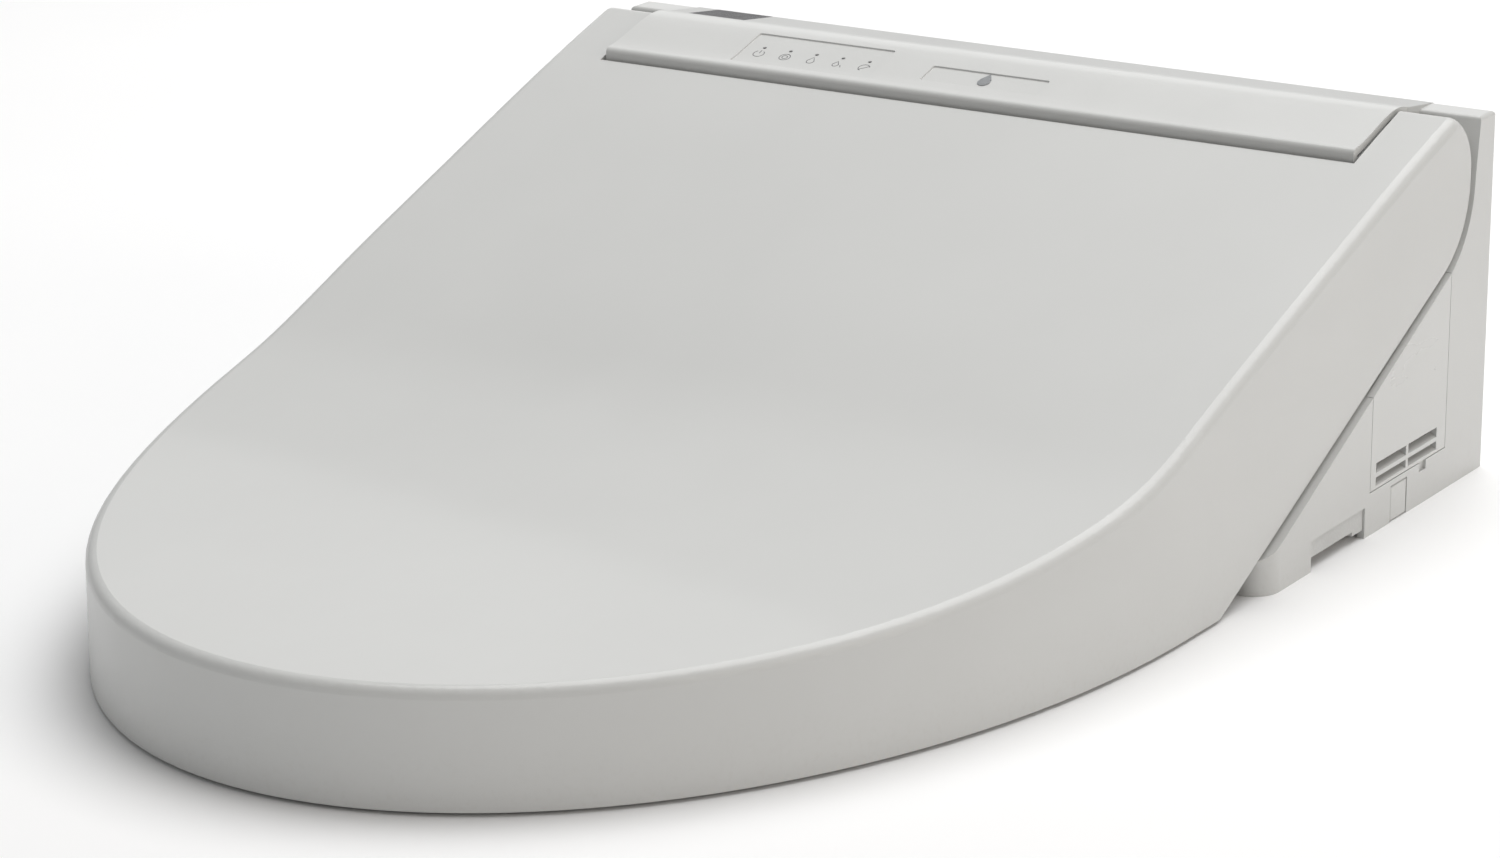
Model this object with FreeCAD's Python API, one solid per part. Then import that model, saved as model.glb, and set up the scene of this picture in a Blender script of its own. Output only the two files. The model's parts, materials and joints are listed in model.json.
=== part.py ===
import FreeCAD, Part
import math
import os

# An electric bidet seat: a housing that is held to a toilet bowl, with a seat ring and a
# lid that turn on one shared hinge line, and the water, air and electric parts inside.
# Millimetres. +X is right, +Y is back and +Z is up. The origin is midway between the two
# bolt holes of the mounting plate, on the face that lies on the bowl.

V = FreeCAD.Vector

# ---- driving sizes ----
CASE_HALF = 191.2              # half the housing's width
CASE_REAR = 56.0               # rear face of the housing
CASE_TOP = 141.25              # height of the housing's rear slab
CASE_FRONT = -132.0            # front face of the housing, under the lid
WALL = 3.0

LID_HALF = 190.9               # half the lid's width at the arms
LID_WAIST = 188.4              # the same where the front curve begins
LID_LONG = 290.0               # from the widest place to the lid's front
LID_WIDEST = -184.5            # where the lid's sides begin to curve
LID_LOW = 1.5                  # lower edge of the lid's skirt
LID_WALL = 3.1
LID_ROUND = 4.0

HINGE_Y = 11.0
HINGE_Z = 128.0
SHAFT = 4.0                    # radius of the hinge shafts
BOSS = 8.5

SLAB_FRONT = 43.0              # front face of the slab behind the lid's arms
CREST_Y = 32.0                 # where the cover meets the sloping rear strip
CREST_Z = 144.2
LIP_Y = -15.0                  # front lip of the fixed cover
LIP_Z = 137.0
COVER_HALF = 165.7
NOTCH_HALF = 167.0             # the lid's notch around the cover
NOTCH_Y = -17.2

SPLIT_SLOPE = 25.4             # slope in degrees of the line between lid and housing
SPLIT_Y = -144.8
SPLIT_Z = 7.0
SPLIT_GAP = 0.7
ARM_Y = 1.3                    # centre of the lid arm's rear curve
ARM_Z = 118.7
ARM_R = 38.0

SEAT_HALF = 181.0
SEAT_LONG = 280.0
SEAT_REAR = -137.0
SEAT_LOW = 8.0
SEAT_SPLIT = 12.0
SEAT_TOP = 32.0
HOLE_HALF = 108.0              # the seat's opening
HOLE_Y = -270.0
HOLE_FRONT = 140.0
HOLE_BACK = 104.0

# the lid's top from its crest to its front, as (y, z)
LID_TOP = [
    (22.0, 145.0),
    (-18.0, 132.7),
    (-104.0, 103.0),
    (-170.0, 79.6),
    (-215.0, 63.8),
    (-255.0, 56.0),
    (-300.0, 50.2),
    (-360.0, 45.6),
    (-480.0, 43.2),
]

# ---- internal sizes ----
WAND_Y = -126.0                # nose of the parked spray wand
WAND_Z = 11.0
WAND_TILT = 25.0
WAND_R = 7.5
WAND_LENGTH = 145.0
FEED_R = 2.42
MODULE = 1.5
TEETH = 12
PINION_AT = 45.0
RACK_TOP = 12.2
DRYER_X = 50.0
DRYER_Y = -30.0
DRYER_R = 34.0
DUCT = (50.0, 84.0)
FLAP_Y = -120.0
FLAP_Z = 20.0
DOOR = (-45.5, 21.0, 17.0)     # front, rear and lower edge of the side door
FAN_Y = -15.0
FAN_Z = 43.0
BUTTON_Y = -20.0
BUTTON_WIDE = 14.0
BUTTON_HIGH = 14.0
INLET_X = -166.0
INLET_Y = 0.0
INLET_R = 10.48
PLATE_HALF = 108.0
BOLT_X = 70.0
BOLT_HOLE = 4.25


# ---- helpers ----
def box(x, y, z):
    """A block between two bounds on each axis."""
    return Part.makeBox(x[1] - x[0], y[1] - y[0], z[1] - z[0], V(x[0], y[0], z[0]))


def rod(axis, start, end, radius, a, b):
    """A cylinder along one axis; a and b place it on the other two, in x, y, z order."""
    way = {"x": V(1, 0, 0), "y": V(0, 1, 0), "z": V(0, 0, 1)}[axis]
    foot = {"x": V(start, a, b), "y": V(a, start, b), "z": V(a, b, start)}[axis]
    return Part.makeCylinder(radius, end - start, foot, way)


def join(pieces):
    """One solid out of pieces that overlap."""
    whole = pieces[0]
    for piece in pieces[1:]:
        whole = whole.fuse(piece)
    return whole.removeSplitter()


def both_sides(shape):
    """A shape and its mirror image across the middle plane."""
    return [shape, shape.mirror(V(0, 0, 0), V(1, 0, 0))]


def line(a, b):
    return Part.LineSegment(V(0, *a), V(0, *b)).toShape()


def arc(a, middle, b):
    return Part.Arc(V(0, *a), V(0, *middle), V(0, *b)).toShape()


def across(edges, left, right):
    """A prism along X over a closed outline of edges in the YZ plane."""
    face = Part.Face(Part.Wire(Part.__sortEdges__(edges)))
    face.translate(V(left, 0, 0))
    return face.extrude(V(right - left, 0, 0))


def polygon_across(points, left, right):
    ring = [V(left, *p) for p in points]
    return Part.Face(Part.makePolygon(ring + ring[:1])).extrude(V(right - left, 0, 0))


def lid_plan(inset, low, high, rear):
    """A prism up Z over the lid's plan: an elliptical front and sides that widen a little."""
    waist = LID_WAIST - inset
    widen = (LID_HALF - LID_WAIST) * (rear - LID_WIDEST) / (ARM_REAR - LID_WIDEST)
    return oval_prism(waist, LID_LONG - inset, LID_WIDEST, low, high, rear, widen)


def oval_prism(half, long, widest, low, high, rear, widen=0.0):
    """A prism over half an ellipse that runs back in straight sides, which may widen."""
    ellipse = Part.Ellipse(V(0, widest - long, low), V(half, widest, low), V(0, widest, low))
    edges = [Part.Edge(ellipse, *ellipse_span(ellipse, half, widest, low))]
    ring = [(half, widest), (half + widen, rear), (-half - widen, rear), (-half, widest)]
    for start, end in zip(ring, ring[1:]):
        edges.append(Part.LineSegment(V(*start, low), V(*end, low)).toShape())
    return Part.Face(Part.Wire(Part.__sortEdges__(edges))).extrude(V(0, 0, high - low))


def ellipse_span(ellipse, half, widest, low):
    """The ellipse's parameters at its two widest points, round by its front."""
    first = ellipse.parameter(V(half, widest, low))
    last = ellipse.parameter(V(-half, widest, low))
    if first > last:
        first, last = last, first
    middle = ellipse.value((first + last) / 2)
    if middle.y > widest:
        first, last = last, first + 2 * math.pi
    return first, last


def full_oval(half, front, back, widest, low, high):
    """An egg-shaped prism: two half ellipses of one width."""
    whole = []
    for long in (-front, back):
        ends = V(0, widest + long, low), V(half, widest, low), V(0, widest, low)
        if abs(long) < half:
            ends = ends[1], ends[0], ends[2]
        ellipse = Part.Ellipse(*ends)
        prism = Part.Face(Part.Wire(Part.Edge(ellipse))).extrude(V(0, 0, high - low))
        side = sorted((widest, widest + 2 * long))
        whole.append(prism.common(box((-2 * half, 2 * half), side, (low - 1, high + 1))))
    return join(whole)


def soften(shape, radius, wanted):
    """The shape with every edge that is wanted rounded."""
    edges = [edge for edge in shape.Edges if wanted(edge)]
    return shape.makeFillet(radius, edges)


def middle_of(edge):
    return edge.valueAt((edge.FirstParameter + edge.LastParameter) / 2)


def upright(edge):
    """Whether an edge runs straight up."""
    a, b = edge.valueAt(edge.FirstParameter), edge.valueAt(edge.LastParameter)
    return math.hypot(a.x - b.x, a.y - b.y) < 1e-6


def on_wand(shape):
    """A shape drawn with the wand's nose at the origin and its length along +Y, put in place."""
    shape = shape.copy()
    shape.rotate(V(0, 0, 0), V(1, 0, 0), WAND_TILT)
    shape.translate(V(0, WAND_Y, WAND_Z))
    return shape


def pipe(points, radius, bore):
    """A hose along a smooth curve through points."""
    curve = Part.BSplineCurve()
    curve.interpolate([V(*p) for p in points])
    spine = Part.Wire(curve.toShape())
    way = curve.tangent(curve.FirstParameter)[0]
    solids = []
    for size in (radius, bore):
        ring = Part.Wire(Part.Circle(V(*points[0]), way, size).toShape())
        solids.append(spine.makePipeShell([ring], True, True))
    return solids[0].cut(solids[1])


# ---- the line between lid and housing ----
SLOPE = math.radians(SPLIT_SLOPE)


def split_line(gap, y):
    """Height at y of the straight line, moved square to itself by a gap below it."""
    return SPLIT_Z + (y - SPLIT_Y) * math.tan(SLOPE) - gap / math.cos(SLOPE)


def split_curve(gap):
    """The curve behind the arm as three points, from the straight line up to level."""
    radius = ARM_R + gap
    spots = []
    for turn in (SPLIT_SLOPE - 90, SPLIT_SLOPE / 2 - 45, 0):
        angle = math.radians(turn)
        spots.append((ARM_Y + radius * math.cos(angle), ARM_Z + radius * math.sin(angle)))
    return spots


# ---- lid ----
ARM_REAR = 39.2
ARM_SHOULDER = (33.6, 137.5)
ARM_STRAIGHT = 124.0
REAR_WALL_LOW = 120.0


def lid_top(drop):
    """The lid's top line, moved down by a drop."""
    curve = Part.BSplineCurve()
    curve.interpolate([V(0, y, z - drop) for y, z in LID_TOP])
    return curve.toShape()


def lid_side():
    """The lid's outline seen from the side."""
    low, middle, high = split_curve(0)
    foot = (SPLIT_Y - (SPLIT_Z - LID_LOW) / math.tan(SLOPE), LID_LOW)
    crest, front = LID_TOP[0], LID_TOP[-1]
    return [
        lid_top(0),
        line(front, (front[0], LID_LOW)),
        line((front[0], LID_LOW), foot),
        line(foot, low),
        arc(low, middle, high),
        line(high, (ARM_REAR, ARM_STRAIGHT)),
        arc((ARM_REAR, ARM_STRAIGHT), ARM_SHOULDER, crest),
    ]


def lid_hollow():
    """The hollow under the lid, seen from the side."""
    crest, front = LID_TOP[0], LID_TOP[-1]
    rear = ARM_REAR - LID_WALL
    under = crest[1] - LID_WALL
    low, back = -10.0, 60.0
    shoulder = (ARM_SHOULDER[0] - LID_WALL * 0.8, ARM_SHOULDER[1] - LID_WALL * 0.75)
    return [
        lid_top(LID_WALL),
        line((front[0], front[1] - LID_WALL), (front[0], low)),
        line((front[0], low), (back, low)),
        line((back, low), (back, REAR_WALL_LOW)),
        line((back, REAR_WALL_LOW), (rear, REAR_WALL_LOW)),
        line((rear, REAR_WALL_LOW), (rear, ARM_STRAIGHT)),
        arc((rear, ARM_STRAIGHT), shoulder, (crest[0], under)),
    ]


def lid_body():
    """The lid before it is hollowed, with its top edge rounded."""
    solid = lid_plan(0, -20, 200, 60).common(across(lid_side(), -200, 200))
    top = [V(0, y, z) for y, z in LID_TOP]
    curve = Part.BSplineCurve()
    curve.interpolate(top)

    def wanted(edge):
        point = middle_of(edge)
        flat = V(0, point.y, point.z)
        near = curve.value(curve.parameter(flat)).distanceToPoint(flat) < 0.1
        crest = point.y > LID_TOP[0][0] and point.z > ARM_STRAIGHT
        return (near or crest) and abs(point.x) + abs(point.y - LID_WIDEST) > 100

    return soften(solid, LID_ROUND, wanted)


def lid_shell():
    notch = box((-NOTCH_HALF, NOTCH_HALF), (NOTCH_Y, 80), (-20, 200))
    hollow = lid_plan(LID_WALL, -30, 200, 80).common(across(lid_hollow(), -200, 200))
    body = lid_body()
    shell = body.cut(hollow).cut(notch)
    boss = rod("x", 175.5, LID_HALF - 1, BOSS, HINGE_Y, HINGE_Z)
    web = box((177.5, LID_HALF - 1), (HINGE_Y - 6, HINGE_Y + 6), (HINGE_Z, 160))
    for side in both_sides(join([boss, web]).common(body)):
        shell = shell.fuse(side)
    for x in ((-186, -175), (175, 186)):
        shell = shell.cut(rod("x", x[0], x[1], SHAFT + 0.08, HINGE_Y, HINGE_Z))
    return shell.removeSplitter()


LID_BUMPERS = [(60.0, -426.0), (136.0, -330.0)]


def lid_bumpers():
    """Rubber pads that hold the closed lid off the seat."""
    hollow = lid_plan(LID_WALL, -30, 200, 80).common(across(lid_hollow(), -200, 200))
    pads = []
    for x, y in LID_BUMPERS:
        pad = rod("z", SEAT_TOP + 0.4, 80, 5.0, x, y).common(hollow)
        pads += both_sides(pad)
    return Part.makeCompound(pads)


def shaft(side):
    """A hinge shaft, from its damper out through both arms."""
    bar = rod("x", 124, 185, SHAFT, HINGE_Y, HINGE_Z)
    bar = soften(bar, 0.6, lambda edge: edge.Closed)
    return both_sides(bar)[0 if side > 0 else 1]


# ---- seat ----
ARCH_HALF = 110.0
ARCH_Z = 18.0
ARCH_Y = -168.0


def seat_plan(inset, low, high):
    """The seat ring's plan with its opening."""
    ring = oval_prism(SEAT_HALF - inset, SEAT_LONG - inset, LID_WIDEST, low, high, SEAT_REAR - inset)
    hole = full_oval(HOLE_HALF + inset, HOLE_FRONT + inset, HOLE_BACK + inset, HOLE_Y, low - 1, high + 1)
    return ring.cut(hole)


def seat_arm():
    """One arm from the ring up to the hinge, on the right."""
    under = [(SEAT_REAR - 0.5, 16), (HINGE_Y + 4.8, HINGE_Z - 7)]
    over = [(HINGE_Y - 4.8, HINGE_Z + 7), (SEAT_REAR - 41, SEAT_TOP - 0.5)]
    foot = [(SEAT_REAR - 41, 16)]
    arm = polygon_across(under + over + foot, 166.5, 174.5)
    outer = polygon_across(under + over + foot, 174.4, 181.5)
    outer = outer.cut(rod("x", 174, 182, 24, HINGE_Y, HINGE_Z))
    boss = rod("x", 166.5, 174.5, BOSS, HINGE_Y, HINGE_Z)
    return join([arm, boss, outer])


def seat_top():
    ring = seat_plan(0, SEAT_SPLIT, SEAT_TOP)
    ring = soften(ring, 7.0, lambda edge: abs(middle_of(edge).z - SEAT_TOP) < 1e-4)
    hollow = seat_plan(WALL + 1.0, SEAT_SPLIT - 1, SEAT_TOP - WALL)
    bar = box((-ARCH_HALF, ARCH_HALF), (ARCH_Y, 0), (0, 60))
    ring = ring.cut(hollow.cut(bar))
    ring = ring.cut(box((-ARCH_HALF, ARCH_HALF), (ARCH_Y, 0), (0, ARCH_Z)))
    ring = ring.cut(box((-16, 16), (-150, 0), (0, ARCH_Z + 4)))
    for side in both_sides(seat_arm()):
        ring = ring.fuse(side)
    for x in ((-175, -166), (166, 175)):
        ring = ring.cut(rod("x", x[0], x[1], SHAFT + 0.08, HINGE_Y, HINGE_Z))
    return ring.removeSplitter()


def seat_bottom():
    plate = seat_plan(0.6, SEAT_LOW, SEAT_SPLIT)
    return plate.cut(box((-ARCH_HALF - 1, ARCH_HALF + 1), (ARCH_Y - 1, 0), (0, 60)))


def seat_heater():
    """A foil heater held against the underside of the seat's top."""
    foil = seat_plan(WALL + 8.0, SEAT_TOP - WALL - 1.0, SEAT_TOP - WALL - 0.1)
    foil = foil.cut(box((-ARCH_HALF - 8, ARCH_HALF + 8), (ARCH_Y - 8, 0), (0, 60)))
    for side in both_sides(box((164, 200), (SEAT_REAR - 45, 0), (0, 60))):
        foil = foil.cut(side)
    return foil


SEAT_BUMPERS = [(62.0, -428.0), (150.0, -190.0)]


def seat_bumpers():
    """Rubber feet that rest on the bowl."""
    feet = []
    for x, y in SEAT_BUMPERS:
        foot = box((x - 12, x + 12), (y - 6, y + 6), (0, SEAT_LOW))
        feet += both_sides(soften(foot, 3.0, upright))
    return Part.makeCompound(feet)


# ---- housing ----
BLOCK_SHOULDER = (-22.0, 119.5)
BLOCK_NOSE = [(-124.0, 47.0), (CASE_FRONT, 38.0)]
COVER_TOP = [(5.0, 142.2), (14.0, 144.6), (24.0, 145.7), (CREST_Y, CREST_Z)]


def cheek_outline(wall):
    """The housing's side, seen from the side, drawn in by a wall."""
    low, middle, high = split_curve(SPLIT_GAP + wall)
    rear = CASE_REAR - wall
    front = CASE_FRONT + wall
    slab = SLAB_FRONT + wall
    foot = -10.0 if wall else 0.0
    return [
        line((rear, foot), (rear, CASE_TOP - wall)),
        line((rear, CASE_TOP - wall), (slab, CASE_TOP - wall)),
        line((slab, CASE_TOP - wall), high),
        arc(high, middle, low),
        line(low, (front, split_line(SPLIT_GAP + wall, front))),
        line((front, split_line(SPLIT_GAP + wall, front)), (front, foot)),
        line((front, foot), (rear, foot)),
    ]


def block_outline():
    """The middle of the housing with its cover, seen from the side."""
    return [
        (CASE_REAR, 0),
        (CASE_REAR, CASE_TOP),
        (CREST_Y, CREST_Z),
        (CREST_Y, CREST_Z - WALL - 0.4),
        (COVER_TOP[1][0], COVER_TOP[1][1] - WALL - 0.4),
        (COVER_TOP[0][0], COVER_TOP[0][1] - WALL - 0.4),
        (LIP_Y + WALL + 0.6, LIP_Z - WALL - 0.6),
        (LIP_Y + WALL + 0.6, 122.0),
        BLOCK_SHOULDER,
        *BLOCK_NOSE,
        (CASE_FRONT, 0),
    ]


def block_hollow():
    return [
        (CASE_REAR - WALL, -10),
        (CASE_REAR - WALL, CASE_TOP - WALL - 0.5),
        (CREST_Y, CREST_Z - 2 * WALL - 1),
        (LIP_Y + 2 * WALL + 1, LIP_Z - 2 * WALL - 4),
        (LIP_Y + 2 * WALL + 1, 118.0),
        (BLOCK_SHOULDER[0] + 2, BLOCK_SHOULDER[1] - 4.5),
        (BLOCK_NOSE[0][0] + 2, BLOCK_NOSE[0][1] - 3),
        (CASE_FRONT + WALL, BLOCK_NOSE[1][1] - 2),
        (CASE_FRONT + WALL, -10),
    ]


SCREWS = [(150.0, -112.0), (150.0, 44.0), (36.0, -118.0)]
GLAND = (132.0, 26.0)
WINDOW_X = (-156.3, -130.0)
WINDOW_DEEP = 2.2
WINDOW_DROP = 9.0              # how far the window reaches down the rear wall
SIDE_NOTCH = (-95.0, -49.5, 12.0)      # front, rear and height
PLATE_PORT = (115.0, 12.0)     # half width and height of the mounting plate's way in
WAND_PORT = (13.0, 24.0)       # half width and height of the wand's port
DRYER_PORT = (10.0, 22.0)      # lower and upper edge of the dryer's outlet
FINGER_TAB = (-2.0, 4.0, 13.0) # front, rear and foot of the dip under the door
TAB_DEEP = 1.2
FIT = 0.4                      # play round the button and the hinge shafts
GLAND_HOLE_R = 9.0
POST_R = 4.0
PILOT_R = 1.5
POST_LOW = 6.4
POST_HIGH = 34.0


def window_zone(gap):
    """The dark window set in the rear strip, which wraps over the rear edge."""
    x = (WINDOW_X[0] - gap, WINDOW_X[1] + gap)
    deep = WINDOW_DEEP + gap
    drop = WINDOW_DROP + gap
    points = [
        (CREST_Y + 0.3 - gap, CREST_Z),
        (CASE_REAR, CASE_TOP),
        (CASE_REAR, CASE_TOP - drop),
        (CASE_REAR - deep, CASE_TOP - drop),
        (CASE_REAR - deep, CASE_TOP - deep),
        (CREST_Y + 0.3 - gap, CREST_Z - deep),
    ]
    return polygon_across(points, *x)


def door_zone(gap, low_x):
    """The side door's place in the right wall."""
    front, rear, foot = DOOR
    points = [
        (front - gap, foot - gap),
        (rear + gap, foot - gap),
        (rear + gap, split_line(SPLIT_GAP, rear) + 8),
        (front - gap, split_line(SPLIT_GAP, front) + 8),
    ]
    return polygon_across(points, low_x, CASE_HALF + 1)


CORNER = 11.0                  # front corners of the housing


def cheeks(wall):
    """The housing's two sides as one prism, drawn in by a wall."""
    half = CASE_HALF - wall

    def corner(edge):
        return upright(edge) and middle_of(edge).y < CASE_FRONT + wall + 1

    return soften(across(cheek_outline(wall), -half, half), CORNER - wall, corner)


def housing_outer():
    def slab_edge(edge):
        return abs(middle_of(edge).z - CASE_TOP) < 1e-4

    def nose(edge):
        point = middle_of(edge)
        spots = (*BLOCK_NOSE, BLOCK_SHOULDER)
        close = any(math.hypot(point.y - y, point.z - z) < 0.1 for y, z in spots)
        return close and abs(point.x) < 1

    sides = soften(cheeks(0), 1.6, slab_edge)
    block = polygon_across(block_outline(), -COVER_HALF, COVER_HALF)
    return sides.fuse(soften(block, 6.0, nose))


def upper_case():
    """The housing's upper half: one moulded shell, open underneath."""
    inner = COVER_HALF - WALL
    shape = housing_outer().cut(cheeks(WALL))
    shape = shape.cut(polygon_across(block_hollow(), -inner, inner))
    shape = shape.cut(box((-inner + 0.5, inner - 0.5), (LIP_Y + 10, CREST_Y - 6), (116, 160)))
    for hole in case_holes():
        shape = shape.cut(hole)
    for x, y in SCREWS:
        for post in both_sides(screw_post(x, y)):
            shape = shape.fuse(post)
        for pilot in both_sides(rod("z", 6, 20, PILOT_R, x, y)):
            shape = shape.cut(pilot)
    return shape.removeSplitter()


def case_holes():
    """Everything that is cut through or into the upper half's walls."""
    wall = (CASE_HALF - WALL - 1, CASE_HALF + 1)
    rear_wall = (CASE_REAR - WALL - 1, CASE_REAR + 1)
    inner = COVER_HALF - WALL
    front, rear, high = SIDE_NOTCH
    half = BUTTON_WIDE / 2 + FIT
    holes = [window_zone(0.12), door_zone(0.35, CASE_HALF - WALL - 0.3)]
    holes.append(box((-PLATE_PORT[0], PLATE_PORT[0]), rear_wall, (-1, PLATE_PORT[1])))
    holes.append(box((-WAND_PORT[0], WAND_PORT[0]), (CASE_FRONT - 1, CASE_FRONT + 8), (-1, WAND_PORT[1])))
    holes.append(box((DUCT[0] + 1, DUCT[1] - 1), (CASE_FRONT - 1, CASE_FRONT + WALL + 1), DRYER_PORT))
    holes.append(box(wall, (BUTTON_Y - half, BUTTON_Y + half), (-1, BUTTON_HIGH + FIT)))
    holes.append(box((CASE_HALF - TAB_DEEP, wall[1]), FINGER_TAB[:2], (FINGER_TAB[2], DOOR[2])))
    holes.append(rod("y", *rear_wall, GLAND_HOLE_R, *GLAND))
    holes += both_sides(box(wall, (front, rear), (-1, high)))
    holes += both_sides(rod("x", inner - 1, COVER_HALF + 1, SHAFT + FIT, HINGE_Y, HINGE_Z))
    return holes


def screw_post(x, y):
    """A post for a case screw and the rib that ties it to the nearest wall."""
    reach = box((-CASE_HALF, CASE_HALF), (CASE_FRONT + 1, CASE_REAR - 1), (POST_LOW, POST_HIGH))
    rib = box((x - 1, x + 1), (y, CASE_REAR - 1) if y > 0 else (CASE_FRONT + 1, y), (15.4, 30))
    return join([rod("z", POST_LOW, POST_HIGH, POST_R, x, y).common(reach), rib])


def top_cover():
    """The fixed cover between the lid's arms."""
    drop = WALL
    edges = [
        line((LIP_Y, 122.5), (LIP_Y, LIP_Z - 1.2)),
        arc((LIP_Y, LIP_Z - 1.2), (LIP_Y + 0.6, LIP_Z + 0.1), (LIP_Y + 2.0, LIP_Z + 0.8)),
        cover_line(0),
        line((CREST_Y - 0.15, CREST_Z), (CREST_Y - 0.15, CREST_Z - drop)),
        cover_line(drop),
        line((LIP_Y + 3.4, LIP_Z + 0.8 - drop), (LIP_Y + WALL + 0.2, 122.5)),
        line((LIP_Y + WALL + 0.2, 122.5), (LIP_Y, 122.5)),
    ]
    cover = across(edges, -COVER_HALF, COVER_HALF)
    cover = cover.cut(panel_zone(INDICATOR))
    cover = cover.cut(panel_zone(BADGE))
    for x in LENSES:
        cover = cover.cut(rod("z", 130, 150, LENS_R + 0.05, x, LENS_Y))
    return cover


def cover_line(drop):
    """The cover's top line, moved down by a drop."""
    start = (LIP_Y + 2.0, LIP_Z + 0.8) if not drop else (LIP_Y + 3.4, LIP_Z + 0.8 - drop)
    inner = [(y, z - drop) for y, z in COVER_TOP[:-1]]
    points = [start, *inner, (CREST_Y - 0.15, CREST_Z - drop)]
    curve = Part.BSplineCurve()
    curve.interpolate([V(0, *p) for p in points])
    return curve.toShape()


INDICATOR = ((-110.0, -47.0), (-10.0, 14.0))
BADGE = ((-25.5, 26.5), (-5.0, 6.5))
LENSES = [-102.0 + 12.2 * n for n in range(5)]
LENS_Y = 4.0
LENS_R = 0.7
POCKET = 0.6                   # depth of the two sunk panels on the cover
PANEL_CORNER = 1.0


def cover_sheet(low, high, left, right):
    """A sheet that follows the cover's top, between two distances above it."""
    lines = []
    for rise in (low, high):
        edge = cover_line(0)
        edge.translate(V(0, 0, rise))
        lines.append(edge)
    ends = []
    for end in (0, -1):
        foot, head = (edge.Vertexes[end].Point for edge in lines)
        ends.append(Part.LineSegment(foot, head).toShape())
    return across(lines + ends, left, right)


def panel_zone(panel):
    """A sunk panel with small round corners."""
    (left, right), (front, rear) = panel
    deep = soften(box((left, right), (front, rear), (100, 160)), PANEL_CORNER, upright)
    return deep.common(cover_sheet(-POCKET, 9, left - 1, right + 1))


def cover_height(y):
    """Height of the cover's top at y."""
    edge = cover_line(0)
    curve = edge.Curve
    return curve.value(curve.parameter(V(0, y, LIP_Z + 5))).z


def indicator_lenses():
    """Five light guides in the cover."""
    top = cover_height(LENS_Y) - POCKET + 0.15
    return Part.makeCompound([rod("z", top - 5, top, LENS_R, x, LENS_Y) for x in LENSES])


def badge_plate():
    """A drop-shaped badge on the cover."""
    round_part = rod("z", 130, 160, 2.6, 0.5, 0.0)
    tip = Part.makePolygon([V(-1.9, 1.7, 130), V(0.5, 6.0, 130), V(2.9, 1.7, 130), V(-1.9, 1.7, 130)])
    drop = join([round_part, Part.Face(tip).extrude(V(0, 0, 30))])
    return drop.common(cover_sheet(-POCKET, -POCKET + 0.4, -10, 10))


def receiver_window():
    return window_zone(0)


TRAY_INSET = 3.4


def tray_block(inset, low, high):
    """A block over the tray's plan, with its two front corners rounded."""
    half = CASE_HALF - TRAY_INSET - inset
    span = (CASE_FRONT + TRAY_INSET + inset, CASE_REAR - TRAY_INSET - inset)
    block = box((-half, half), span, (low, high))
    return soften(block, 9.0 - inset, lambda edge: upright(edge) and middle_of(edge).y < 0)


def lower_case():
    low, high = 3.3, 6.0
    rim = tray_block(0, low, 15).cut(tray_block(2.2, high, 20))
    shape = rim.cut(box((-200, 200), (CASE_FRONT, CASE_FRONT + 16), (8.5, 20)))
    roof = box((-114.4, 114.4), (-64.4, CASE_REAR - 3.4), (low, 14.4))
    shape = shape.fuse(roof)
    shape = shape.cut(box((-112, 112), (-62, CASE_REAR + 5), (0, 12)))
    for side in both_sides(box((102, 112.5), (-58, 40), (3.4, 5.4))):
        shape = shape.fuse(side)
    shape = shape.cut(box((-14, 14), (CASE_FRONT - 1, -92), (-1, 20)))
    shape = shape.cut(rod("z", 0, 20, 17.0, INLET_X, INLET_Y))
    half = BUTTON_WIDE / 2 + 0.4
    press = (BUTTON_Y - half, BUTTON_Y + half)
    shape = shape.cut(box((165, CASE_HALF), press, (-1, BUTTON_HIGH + 0.4)))
    shape = shape.fuse(box((166, 168.4), (press[0] - 3, press[1] + 3), (low, BUTTON_HIGH + 1)))
    front, rear, high = SIDE_NOTCH
    fill = box((CASE_HALF - TRAY_INSET - 1, CASE_HALF - 0.8), (front + 0.3, rear - 0.3), (5, high - 0.3))
    foot = box((CASE_HALF - TRAY_INSET - 1, CASE_HALF - 0.8), (rear - 9, rear - 0.3), (3.3, 8))
    for side in both_sides(fill.fuse(foot)):
        shape = shape.fuse(side)
    for x, y in SCREWS:
        for side in both_sides(rod("z", 0, 20, 1.7, x, y).fuse(rod("z", 3, 4.8, 3.2, x, y))):
            shape = shape.cut(side)
    return shape.removeSplitter()


def case_screws():
    """Screws that hold the lower case to the upper case, from below."""
    screws = []
    for x, y in SCREWS:
        screw = rod("z", 3.4, 4.7, 2.9, x, y).fuse(rod("z", 4.6, 18, 1.4, x, y))
        screws += both_sides(screw.cut(rod("z", 3, 4.0, 1.2, x, y)).removeSplitter())
    return Part.makeCompound(screws)


PADS = [(150.0, -90.0), (150.0, 20.0)]


def foot_pads():
    """Soft feet under the lower case."""
    pads = []
    for x, y in PADS:
        pad = rod("z", 0, 3.3, 8.0, abs(x), y)
        pads += both_sides(soften(pad, 0.8, lambda edge: abs(middle_of(edge).z) < 1e-4))
    return Part.makeCompound(pads)


def mounting_plate():
    """The plate that is bolted to the bowl; the housing slides over it."""
    plate = box((-PLATE_HALF, PLATE_HALF), (-54, 40), (0, 3))
    plate = soften(plate, 8.0, upright)
    hook = box((97, 100), (-50, 36), (2.5, 8)).fuse(box((97, 107.5), (-50, 36), (6, 8)))
    for side in both_sides(hook):
        plate = plate.fuse(side)
    for side in both_sides(box((BOLT_X - 18, BOLT_X + 18), (-10.5, 10.5), (-1, 4))):
        plate = plate.cut(soften(side, 10.0, upright))
    stiff = box((-30, 30), (-44, -40), (2.5, 7)).fuse(box((-30, 30), (26, 30), (2.5, 7)))
    return plate.fuse(stiff).removeSplitter()


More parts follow.
